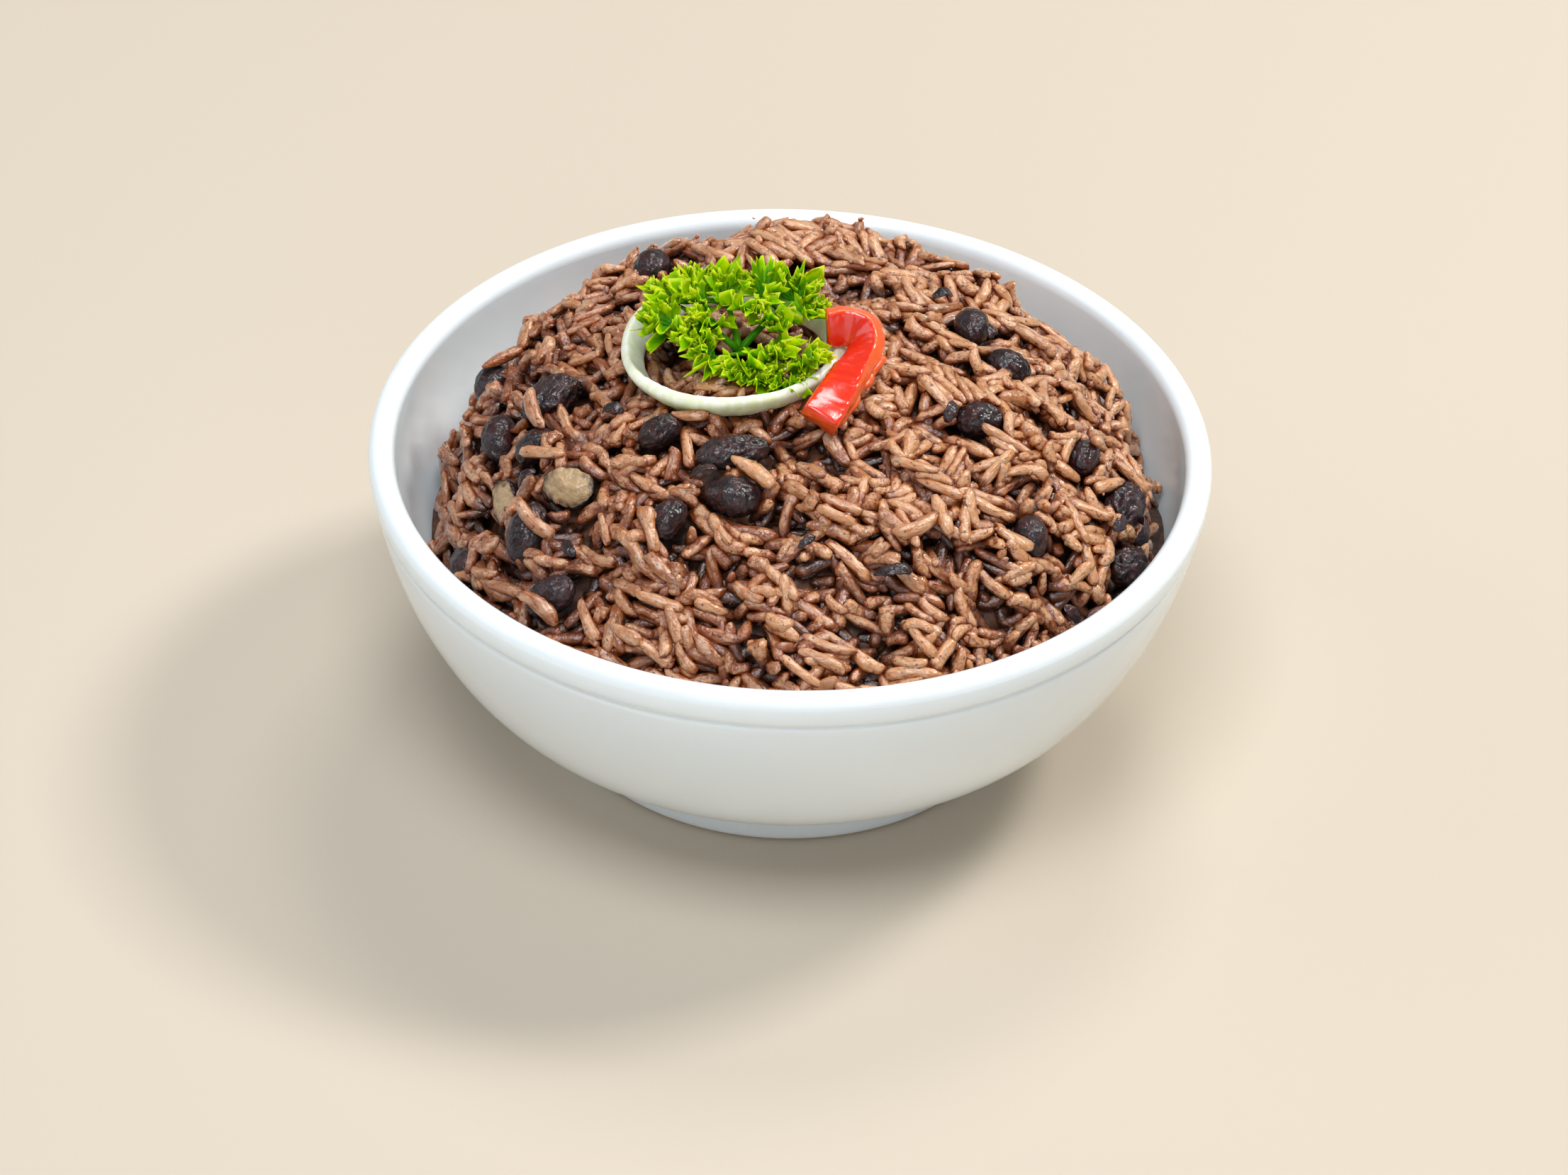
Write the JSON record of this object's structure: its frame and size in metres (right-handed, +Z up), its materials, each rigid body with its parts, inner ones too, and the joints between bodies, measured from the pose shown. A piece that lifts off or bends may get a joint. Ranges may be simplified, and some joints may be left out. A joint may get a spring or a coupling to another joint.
{
  "type": "bowl of rice and beans",
  "caption": "White glazed footed bowl heaped with rice and black beans, garnished with a parsley sprig, an onion ring and a curled strip of red pepper.",
  "frame": {"origin": "centre of the foot ring's underside, where the bowl stands", "axes": "+Z up out of the bowl; -Y towards the low front of the heap, +X towards the pepper strip"},
  "size_m": [0.15, 0.15, 0.0905],
  "materials": {
    "glaze": "glossy white glaze",
    "rice": "moist cooked rice, stained brown by the beans",
    "bean": "wet black bean skin",
    "onion": "translucent raw onion",
    "pepper": "glossy red pepper skin",
    "parsley": "fresh curly leaf"
  },
  "bodies": {
    "root": {"bowl": "glaze", "rice_heap": "rice", "onion_ring": "onion", "pepper_strip": "pepper", "parsley": "parsley", "bean_01": "bean", "bean_02": "bean", "bean_03": "bean", "bean_04": "bean", "bean_05": "bean", "bean_06": "bean", "bean_07": "bean", "bean_08": "bean", "bean_09": "bean", "bean_10": "bean", "bean_11": "bean", "bean_12": "bean", "bean_13": "bean", "bean_14": "bean", "bean_15": "bean", "bean_16": "bean", "bean_17": "bean", "bean_18": "bean", "bean_19": "bean", "bean_20": "bean", "bean_21": "bean"}
  },
  "joints": []
}
